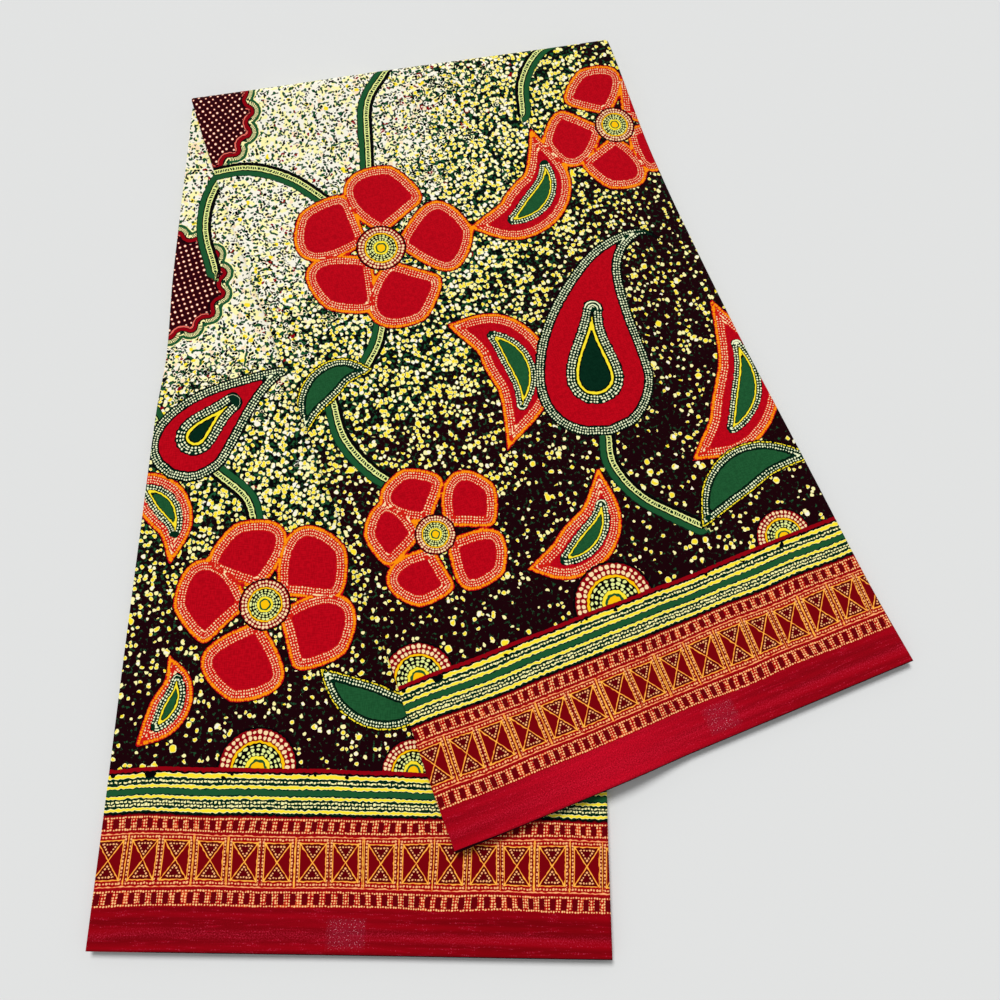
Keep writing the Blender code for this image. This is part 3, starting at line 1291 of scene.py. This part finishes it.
    def material(self) -> bpy.types.Material:
        """Puts the layers of the print together and gives the cloth its weave and finish.

        The weave is the product of a sine across and a sine up, a thread to each half wave.

        Returns:
            The material.
        """
        loom, finish = self.loom, self.finish
        colour = self.vines(self.panels(self.ground()))
        for rim in self.rims():
            colour = self.rimmed(colour, rim)
        colour = self.border(self.hearts(colour))
        turns = math.pi / finish.thread
        height = (self.x * turns).sine() * (self.y * turns).sine() * 0.35 + self.grain
        weave = {"Strength": finish.weave_depth, "Distance": 0.0002, "Height": height}
        bump = loom.node("ShaderNodeBump", {}, weave)
        sockets = {
            "Base Color": colour, "Normal": bump, "Roughness": finish.roughness,
            "Specular IOR Level": finish.specular, "Sheen Weight": finish.sheen, "Sheen Roughness": 0.5,
        }
        shader = loom.node("ShaderNodeBsdfPrincipled", {}, sockets)
        loom.node("ShaderNodeOutputMaterial", {}, {"Surface": shader})
        return loom.material


# Meshes


def new_piece(name: str, points: Array, faces: Array, material: bpy.types.Material) -> bpy.types.Object:
    """A mesh object from arrays of points and quads.

    Args:
        name: the piece's name.
        points: (n, 3) points in metres.
        faces: (m, 4) vertex numbers.
        material: what it is made of.

    Returns:
        The object, linked to the scene.
    """
    mesh = bpy.data.meshes.new(name)
    mesh.vertices.add(len(points))
    mesh.vertices.foreach_set("co", points.astype(np.float32).ravel())
    mesh.loops.add(faces.size)
    mesh.loops.foreach_set("vertex_index", faces.astype(np.int32).ravel())
    mesh.polygons.add(len(faces))
    mesh.polygons.foreach_set("loop_start", np.arange(0, faces.size, 4, dtype=np.int32))
    mesh.polygons.foreach_set("use_smooth", np.ones(len(faces), bool))
    mesh.update(calc_edges=True)
    mesh.materials.append(material)
    piece = bpy.data.objects.new(name, mesh)
    bpy.context.scene.collection.objects.link(piece)
    return piece


def put_field(mesh: bpy.types.Mesh, name: str, values: Array) -> None:
    """Stores vectors on the faces' corners.

    Args:
        mesh: the mesh.
        name: the field's name.
        values: (m, 4, 3) vectors, or (m, 4) numbers, which go into all three places of a vector.
    """
    if values.ndim == 2:
        values = np.repeat(values[..., None], 3, axis=-1)
    layer = mesh.attributes.new(name, "FLOAT_VECTOR", "CORNER")
    layer.data.foreach_set("vector", values.astype(np.float32).ravel())


def put_map(mesh: bpy.types.Mesh, name: str, values: Array) -> None:
    """Stores a UV map."""
    mesh.uv_layers.new(name=name).data.foreach_set("uv", values.astype(np.float32).ravel())


def grid_faces(rows: int, columns: int) -> Array:
    """Quads of a grid whose vertices run along its rows."""
    corner = (np.arange(rows - 1)[:, None] * columns + np.arange(columns - 1)).ravel()
    return np.stack((corner, corner + 1, corner + columns + 1, corner + columns), axis=1)


def grid_rim(rows: int, columns: int) -> Array:
    """Vertices round a grid, the way its faces turn.

    Args:
        rows: how many rows of vertices there are.
        columns: how many vertices a row has.

    Returns:
        Their numbers.
    """
    first = np.arange(columns - 1)
    right = np.arange(rows - 1) * columns + columns - 1
    last = (rows - 1) * columns + np.arange(columns - 1, 0, -1)
    left = np.arange(rows - 1, 0, -1) * columns
    return np.concatenate((first, right, last, left))


@dataclass
class TopSheet:
    """A sheet of the printed cloth that shows whole: a thin shell with the print on both faces."""

    name: str
    strip: FoldedStrip
    printed: LegPrint
    creases: Tuple[Crease, ...]
    on_upper_leg: bool
    thickness: float = 0.0003
    cell: float = 0.0021
    loop_steps: int = 4
    turn_steps: int = 14
    flat: Place = (0.0, 0.0)

    def relief(self, u: Array, up: Array) -> Array:
        """How far the creases lift the sheet: their sum, which fades out over 8 mm at its left side.

        Args:
            u: 0 on the left side, 1 on the right.
            up: metres up from the selvedge.

        Returns:
            Metres.
        """
        across = u * self.strip.width * MM
        lifted = sum(crease.height(across, up * MM) for crease in self.creases)
        return lifted / MM * smooth_step(across / 8.0)

    def outer_face(self) -> Array:
        """The leg's surface over a grid, which goes on round the turn on the upper leg.

        The left side curls down, by a half circle, into the loop that joins it to the next layer.

        Returns:
            (rows, columns, 3) points.
        """
        strip, radius = self.strip, self.strip.pitch
        angle = np.linspace(math.pi, 0, self.loop_steps, endpoint=False)
        flat = np.linspace(0, 1, int(strip.width / self.cell) + 1)
        u = np.concatenate((np.zeros(self.loop_steps), flat))
        left = np.concatenate((radius * (1 - np.sin(angle)), np.full(len(flat), radius)))
        drop = np.concatenate((radius * (1 - np.cos(angle)), np.zeros(len(flat))))
        leg, leg_length = strip.lower_leg, strip.lower_length
        if self.on_upper_leg:
            leg, leg_length = strip.upper_leg, strip.upper_length
        length = leg_length(strip.midway)
        v = np.linspace(0, 1, int(length / self.cell) + 1)
        u_grid, v_grid = np.meshgrid(u, v)
        points = leg(u_grid, v_grid, strip.thickness - drop + self.relief(u_grid, v_grid * length), left)
        if self.on_upper_leg:
            u_turn, v_turn = np.meshgrid(u, np.linspace(0, 1, self.turn_steps + 1))
            lifted = self.relief(u_turn, length + v_turn * math.pi * strip.radius)
            points = np.concatenate((points, strip.turn(u_turn, v_turn, strip.radius - drop + lifted, left)))
        return points

    def build(self, material: bpy.types.Material) -> bpy.types.Object:
        """Builds and prints the shell. Its inner face lies one thickness inwards along the normals.

        Args:
            material: the printed cotton.

        Returns:
            The sheet.
        """
        points = self.outer_face()
        rows, columns = points.shape[:2]
        start = self.loop_steps
        steps = np.linalg.norm(np.diff(points, axis=1), axis=2)
        across = np.concatenate((np.zeros((rows, 1)), np.cumsum(steps, axis=1)), axis=1)
        across = across - across[:, start : start + 1]
        up = np.cumsum(np.linalg.norm(np.diff(points, axis=0), axis=2), axis=0)
        up = np.concatenate((np.zeros((1, columns)), up))
        normal = np.cross(np.gradient(points, axis=1), np.gradient(points, axis=0))
        normal /= np.linalg.norm(normal, axis=2, keepdims=True)
        inner = points - self.thickness * normal

        count = rows * columns
        outer_faces = grid_faces(rows, columns)
        rim = grid_rim(rows, columns)
        next_rim = np.roll(rim, -1)
        rim_faces = np.stack((next_rim, rim, rim + count, next_rim + count), axis=1)
        faces = np.concatenate((outer_faces, outer_faces[:, ::-1] + count, rim_faces))
        everything = np.concatenate((points.reshape(-1, 3), inner.reshape(-1, 3)))
        piece = new_piece(self.name, everything, faces, material)
        x = across.ravel() * MM
        y = self.printed.printed_height(x, up.ravel() * MM)
        self.dress(piece.data, x, y, outer_faces, faces % count)
        put_map(piece.data, "OFBake", self.bake_map(rows, columns, outer_faces, len(rim_faces)))
        self.flat = (float(across[:, -1].mean()), float(up[-1].mean()))
        return piece

    def dress(self, mesh: bpy.types.Mesh, x: Array, y: Array, outer_faces: Array, corners: Array) -> None:
        """Stores the print's fields. Both faces take the same ones, and the rim has no motifs.

        Args:
            mesh: the sheet's mesh: its outer faces, its inner ones turned round, and its rim.
            x: millimetres across, for each vertex of the outer face.
            y: millimetres up the print, likewise.
            outer_faces: vertex numbers of the outer faces.
            corners: for each corner of every face, the number of its vertex on the outer face.
        """
        bare = np.zeros((len(corners) - 2 * len(outer_faces), 4, 3))
        for name, values in print_fields(self.printed, x, y, outer_faces).items():
            put_field(mesh, name, np.concatenate((values, values[:, ::-1], bare)))
        # The patch field also carries the painted sheen: the selvedge painted lighter where the light falls on it.
        patch, painted_sheen = self.printed.patch_at(x, y), self.printed.painted_sheen_at(x)
        put_field(mesh, "darkness", self.printed.darkness(x, y)[corners])
        put_field(mesh, "patch", np.stack((patch, painted_sheen, painted_sheen), axis=-1)[corners])
        put_map(mesh, "cloth", np.stack((x, y), axis=1)[corners] / MM)

    @staticmethod
    def bake_map(rows: int, columns: int, faces: Array, rim_count: int) -> Array:
        """A map that gives the outer face nearly all the room, and the inner face and rim thin strips.

        Args:
            rows: how many rows of vertices a face has.
            columns: how many vertices a row has.
            faces: vertex numbers of the outer faces.
            rim_count: how many faces the rim has.

        Returns:
            (m, 4, 2) places on the map, one for each corner.
        """
        u = np.tile(np.linspace(0, 1, columns), rows)
        v = np.repeat(np.linspace(0, 1, rows), columns)
        outer = np.stack((u, 0.955 * v), axis=1)[faces]
        inner = np.stack((u, 0.96 + 0.03 * v), axis=1)[faces[:, ::-1]]
        here = np.arange(rim_count) / rim_count
        ends = ((here + 1 / rim_count, 0.993), (here, 0.993), (here, 0.999), (here + 1 / rim_count, 0.999))
        rim = np.stack([np.stack(np.broadcast_arrays(*end), axis=1) for end in ends], axis=1)
        return np.concatenate((outer, inner, rim))


class Stretch(Enum):
    """Which stretch of the folded strip a stack of hidden layers lies in."""

    LOWER = "lower leg"
    TURN = "turn"
    UPPER = "upper leg"


@dataclass
class HiddenStack:
    """The layers between the sheets that show: one block whose rim shows each layer.

    A layer's number grows with its depth from the cloth's first layer, which lies on the floor under the
    lower leg and on top of the upper one. The left side has a loop for each pair of layers, the right
    side a loop for each pair after the first, and the ends show every layer by itself.
    """

    name: str
    strip: FoldedStrip
    stretch: Stretch
    spacing: float = 0.005
    turn_rows: int = 13
    clearance: float = 0.00004
    # how far the flat faces are drawn in, how far the lobes are, how uneven that is, and the least of it
    inside: float = 0.0006
    set_back: float = 0.0006
    uneven: float = 0.0005
    least: float = 0.0002
    lobe_depth: float = 0.0009
    # where the rings of one layer lie, as shares of it
    profile: Tuple[float, ...] = (0.0, 0.12, 0.5, 0.88)

    def levels(self) -> Tuple[Array, Array]:
        """Works out the rim's rings, from the inside out.

        Returns:
            Their depths in the cloth, and the heights or radii that they lie at.
        """
        strip, pitch = self.strip, self.strip.pitch
        first = 0 if self.stretch is Stretch.LOWER else 1
        last = strip.layers - 1 + first
        depth = [(k + np.array(self.profile)) * pitch for k in range(first, last)]
        depth = np.concatenate(depth + [[last * pitch]])
        top = strip.thickness - pitch - self.clearance
        if self.stretch is Stretch.LOWER:
            return depth, depth * top / depth[-1]
        depth = depth[::-1]
        height = strip.thickness - depth
        if self.stretch is Stretch.UPPER:
            return depth, height * top / height[-1]
        low, high = strip.turn_core, strip.radius - pitch - self.clearance
        return depth, low + height / height[-1] * (high - low)

    def drawn_in(self, depth: Array, side: Array, path: Array) -> Array:
        """How far the rim is drawn in, at each depth and each place round it.

        A lobe's profile is an ellipse: 1 less the root of 1 less the square of the place in it. Lobes
        also stand back from each other by sums of slow sines, so no two layers end in one line. Lobes
        on the right are numbered from 40 and those at the ends from 80, so that none is another's copy.

        Args:
            depth: (levels, 1) depths.
            side: (1, places) 0 on the left, 1 at a selvedge, 2 on the right, 3 against the turn.
            path: (1, places) metres along the cloth.

        Returns:
            (levels, places) metres.
        """
        layer = depth / self.strip.pitch - 1e-6
        left, right, end = np.floor(layer / 2), np.floor((layer + 1) / 2), np.floor(layer)
        sides = [side == 0, side == 2]
        lobe = np.select(sides, [left, right + 40], end + 80)
        within = np.select(sides, [layer - 2 * left - 1, layer - 2 * right], 2 * (layer - end) - 1)
        rounded = self.lobe_depth * (1 - np.sqrt(np.clip(1 - within**2, 0, 1)))
        waves = (
            0.45 * np.sin(lobe * 12.9898 + 1.3)
            + 0.30 * np.sin(path * 31 + lobe * 4.1)
            + 0.15 * np.sin(path * 83 + lobe * 7.7)
        )
        return np.where(side == 3, 0.0, np.maximum(rounded + self.set_back + self.uneven * waves, self.least))

    def build(self, material: bpy.types.Material) -> bpy.types.Object:
        """Builds the block: rings of the rim at every level, closed by a grid at the bottom and top.

        Args:
            material: the printed cotton, which shows on the edges of the layers.

        Returns:
            The stack.
        """
        strip = self.strip
        turn = self.stretch is Stretch.TURN
        lower, upper = strip.lower_length(strip.midway), strip.upper_length(strip.midway)
        place, length, start = {
            Stretch.LOWER: (strip.lower_leg, lower, 0.0),
            Stretch.UPPER: (strip.upper_leg, upper, 0.0),
            Stretch.TURN: (strip.turn, math.pi * strip.radius, upper),
        }[self.stretch]
        depth, level = self.levels()
        columns = int(strip.width / self.spacing) + 1
        rows = self.turn_rows if turn else int(length / self.spacing) + 1
        u, v = (a.ravel() for a in np.meshgrid(np.linspace(0, 1, columns), np.linspace(0, 1, rows)))
        rim = grid_rim(rows, columns)
        rim_u, rim_v = u[rim], v[rim]
        side = np.select([rim_u == 0, rim_u == 1, rim_v == 0], [0, 2, 3 if turn else 1], 3)
        end_side = np.where((rim_v == 0) & (not turn), 1, 3)
        path = start + length * rim_v + (side == 1) * rim_u * strip.width
        sides = self.drawn_in(depth[:, None], side[None], path[None])
        ends = self.drawn_in(depth[:, None], end_side[None], (rim_u * strip.width)[None])
        left = np.where(rim_u[None] == 0, sides, self.inside)
        right = np.where(rim_u[None] == 1, sides, self.inside)
        end = np.where((rim_v[None] == 0) & (not turn), ends, self.inside * (not turn))
        grids = (np.broadcast_to(a, sides.shape) for a in (rim_u, rim_v))
        rings = place(*grids, level[:, None], left, right, end)
        count, places = sides.shape
        ring = np.arange(places)
        after = np.roll(ring, -1)
        band = np.stack((ring, after, after + places, ring + places), axis=1)
        faces = [band + k * places for k in range(count - 1)]
        points = [rings.reshape(-1, 3)]
        inner = np.setdiff1d(np.arange(rows * columns), rim)
        total = count * places
        edge = np.full(len(inner), self.inside)
        for top, at in ((False, level[0]), (True, level[-1])):
            number = np.zeros(rows * columns, int)
            number[rim] = ring + (count - 1) * places * top
            number[inner] = total + np.arange(len(inner))
            total += len(inner)
            points.append(place(u[inner], v[inner], np.full(len(inner), at), edge, edge, edge * (not turn)))
            quads = number[grid_faces(rows, columns)]
            faces.append(quads if top else quads[:, ::-1])
        quads = np.concatenate(faces)
        piece = new_piece(self.name, np.concatenate(points), quads, material)

        width = strip.width * MM
        layer = np.floor(depth / strip.pitch - 1e-6)[:, None]
        x = np.concatenate(((width * (layer + rim_u)).ravel(), u[inner] * width, u[inner] * width))
        y_rim = np.broadcast_to((start + rim_v * length) * MM, (count, places)).ravel()
        y = np.concatenate((y_rim, *[(start + v[inner] * length) * MM] * 2))
        # The ground on the edges is darkest at the selvedges, and gets lighter towards the turn
        put_field(piece.data, "darkness", np.clip(1.15 - y / 480.0, 0.2, 1)[quads])
        put_map(piece.data, "cloth", np.stack((x, y), axis=1)[quads] / MM)
        return piece


# Layout of the print

UPPER_PRINT = LegPrint(
    blooms=(
        Bloom(96, 404, 66, 5, 64),
        Bloom(56, 190, 50, 5, 20),
        Bloom(300, 440, 56, 5, 100),
    ),
    leaves=(
        Spined(((118, 330), (148, 306), (152, 268), (122, 226)), 23),
        Spined(((162, 396), (200, 392), (232, 414), (238, 462)), 22),
        Spined(((104, 146), (134, 144), (162, 160), (176, 196)), 18),
        Spined(((240, 176), (280, 190), (306, 226), (306, 286)), 23),
    ),
    green_leaves=(
        Spined(((226, 130), (254, 152), (286, 160), (326, 148)), 16),
        Spined(((58, 316), (34, 322), (10, 308), (-6, 282)), 13),
    ),
    paisleys=(
        Spined(
            ((194, 212), (200, 254), (218, 300), (246, 338), (280, 350), (300, 330)), 42, Cut.PAISLEY,
            (0.15, 0.47, 0.31),
        ),
    ),
    vines=(
        ((-8, 506), (24, 502), (52, 484), (74, 452)),
        ((166, 580), (150, 548), (126, 520), (110, 470)),
        ((78, 352), (68, 334), (52, 318)),
        ((24, 304), (22, 276), (32, 248), (50, 224)),
        ((192, 216), (186, 192), (196, 164), (226, 132)),
        ((236, 474), (246, 500), (268, 520), (300, 530)),
    ),
    fans=(Disc(150, 105, 27), Disc(276, 105, 19), Disc(14, 105, 23)),
    medallions=(Medallion(-6, 556, 50, 16, 5),),
    corner=577,
    aslant=1.0,
    fade=(
        (0, 0.0), (90, 0.08), (172, 0.25), (215, 0.42), (283, 0.57), (325, 0.74), (355, 0.85), (395, 0.91),
        (480, 1.0),
    ),
    dip=-1.2,
    # Strength of the painted sheen on the selvedge
    painted_sheen=0.9,
    patch=(176, 198, 4, 23),
)

LOWER_PRINT = LegPrint(
    blooms=(Bloom(88, 208, 62, 5, 40),),
    leaves=(
        Spined(((-22, 290), (4, 284), (22, 262), (22, 232)), 16),
        Spined(((14, 118), (30, 136), (36, 156), (28, 176)), 13),
    ),
    green_leaves=(Spined(((126, 168), (150, 150), (178, 142), (212, 150)), 14),),
    paisleys=(
        Spined(((14, 294), (30, 324), (56, 352), (84, 372), (110, 372)), 29, Cut.PAISLEY, (0.20, 0.50, 0.24)),
    ),
    vines=(
        ((44, 560), (24, 520), (20, 486), (30, 450)),
        ((18, 304), (4, 330), (-8, 346)),
        ((78, 258), (70, 280), (46, 298)),
    ),
    fans=(Disc(92, 105, 25), Disc(190, 105, 20)),
    medallions=(Medallion(-4, 440, 44, 15, 5),),
    corner=593,
    aslant=0.30,
    fade=(
        (0, 0.0), (150, 0.05), (183, 0.12), (243, 0.44), (315, 0.54), (370, 0.75), (400, 0.88), (430, 0.93),
        (490, 1.0),
    ),
    dip=1.8,
    # Strength of the painted sheen on the selvedge
    painted_sheen=0.15,
    patch=(142, 166, 3, 21),
)

UPPER_CREASES = (
    Crease(20, 540, 150, 470, 0.34, 11),
    Crease(250, 560, 318, 300, 0.28, 15),
    Crease(60, 330, 190, 250, 0.16, 9),
    Crease(150, 520, 170, 380, -0.06, 12),
    Crease(230, 240, 310, 60, 0.24, 12),
    Crease(30, 150, 120, 60, 0.14, 10),
    Crease(120, 30, 290, 14, 0.18, 8),
)
LOWER_CREASES = (
    Crease(10, 560, 90, 400, 0.30, 12),
    Crease(8, 380, 70, 300, 0.18, 9),
    Crease(40, 250, 210, 190, 0.16, 13),
    Crease(150, 150, 220, 20, 0.24, 11),
    Crease(20, 90, 120, 18, 0.15, 9),
    Crease(230, 130, 300, 30, 0.20, 10),
    Crease(160, 420, 290, 330, 0.26, 12),
    Crease(220, 560, 300, 480, 0.22, 14),
)


# Studio


@dataclass(frozen=True)
class Studio:
    """The floor, the light and the camera at the photograph's viewing angle."""

    focal: float = 810.55
    picture: float = 1000.0
    sensor: float = 36.0
    pitch: float = math.radians(13.8931)
    roll: float = math.radians(2.6770)
    yaw: float = math.radians(-1.5450)
    position: Tuple[float, float, float] = (0.238223 - 0.2568, 0.149574 - 0.3274, 0.541796)
    floor_tone: Colour = dye(226.5, 227.5, 227)
    floor_reach: float = 6.0
    floor_height: float = -0.00005
    sky: float = 0.37
    lamp: float = 2.42
    lamp_breadth: float = math.radians(22)
    lamp_turn: Tuple[float, float, float] = (math.radians(-34), math.radians(-12), 0.0)

    def camera(self) -> None:
        """Turns the camera by pitch, then yaw about the vertical, then roll about its own view."""
        turn = Matrix.Rotation(self.yaw, 3, "Z")
        forward = turn @ Vector((0, math.sin(self.pitch), -math.cos(self.pitch)))
        up = turn @ Vector((0, math.cos(self.pitch), math.sin(self.pitch)))
        right = turn @ Vector((1, 0, 0))
        c, s = math.cos(self.roll), math.sin(self.roll)
        side, top = c * right + s * up, c * up - s * right
        data = bpy.data.cameras.new("camera")
        data.sensor_width = self.sensor
        data.lens = self.focal / self.picture * self.sensor
        data.clip_start, data.clip_end = 0.01, 50
        camera = bpy.data.objects.new("camera", data)
        rows = [[side[i], top[i], -forward[i], self.position[i]] for i in range(3)]
        camera.matrix_world = Matrix(rows + [[0, 0, 0, 1]])
        bpy.context.scene.collection.objects.link(camera)
        bpy.context.scene.camera = camera

    def floor(self) -> None:
        """A wide plain floor just under the cloth."""
        corners = np.array(((-1, -1), (1, -1), (1, 1), (-1, 1))) * self.floor_reach
        points = np.column_stack((corners, np.full(4, self.floor_height)))
        loom = Loom("floor_paper")
        sockets = {"Base Color": self.floor_tone, "Roughness": 0.9, "Specular IOR Level": 0.05}
        loom.node("ShaderNodeOutputMaterial", {}, {"Surface": loom.node("ShaderNodeBsdfPrincipled", {}, sockets)})
        new_piece("floor", points, np.array([[0, 1, 2, 3]]), loom.material)

    def light(self) -> None:
        """An even pale sky, and a broad soft lamp high up beyond the turn."""
        world = bpy.data.worlds.new("studio_sky")
        world.use_nodes = True
        sky = world.node_tree.nodes["Background"].inputs
        sky["Color"].default_value = (1, 1, 1, 1)
        sky["Strength"].default_value = self.sky
        bpy.context.scene.world = world
        data = bpy.data.lights.new("key", "SUN")
        data.energy = self.lamp
        data.angle = self.lamp_breadth
        key = bpy.data.objects.new("key", data)
        key.rotation_euler = self.lamp_turn
        bpy.context.scene.collection.objects.link(key)
        bpy.context.scene.view_settings.view_transform = "Standard"

    def build(self) -> None:
        """Sets up all three."""
        self.camera()
        self.floor()
        self.light()


# The whole


@dataclass
class WaxPrintCloth:
    """The folded cloth, built from its two top sheets and its three stacks of hidden layers."""

    strip: FoldedStrip = field(default_factory=FoldedStrip)

    def build(self) -> None:
        """Builds, dresses and declares every piece."""
        cotton = WaxPrint("wax_printed_cotton").material()
        lower = TopSheet("lower_leg_cloth", self.strip, LOWER_PRINT, LOWER_CREASES, False)
        upper = TopSheet("upper_leg_cloth", self.strip, UPPER_PRINT, UPPER_CREASES, True)
        stands_for = (
            (lower, ("lower_leg_top_layer",)),
            (upper, ("upper_leg_top_layer", "turn_outer_layer")),
            (HiddenStack("lower_leg_layers", self.strip, Stretch.LOWER), ("lower_leg_hidden_layers",)),
            (HiddenStack("turn_layers", self.strip, Stretch.TURN), ("turn_hidden_layers",)),
            (HiddenStack("upper_leg_layers", self.strip, Stretch.UPPER), ("upper_leg_hidden_layers",)),
        )
        pieces = {}
        for part, nodes in stands_for:
            piece = pieces[part.name] = part.build(cotton)
            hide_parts(*nodes)
            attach(piece, "root")
            LOG.info("%s: %d faces", part.name, len(piece.data.polygons))


def main() -> None:
    """Builds the studio and the cloth."""
    logging.basicConfig(level=logging.INFO, format="%(message)s")
    Studio().build()
    WaxPrintCloth().build()
    bpy.context.view_layer.update()


if __name__ == "__main__":
    main()
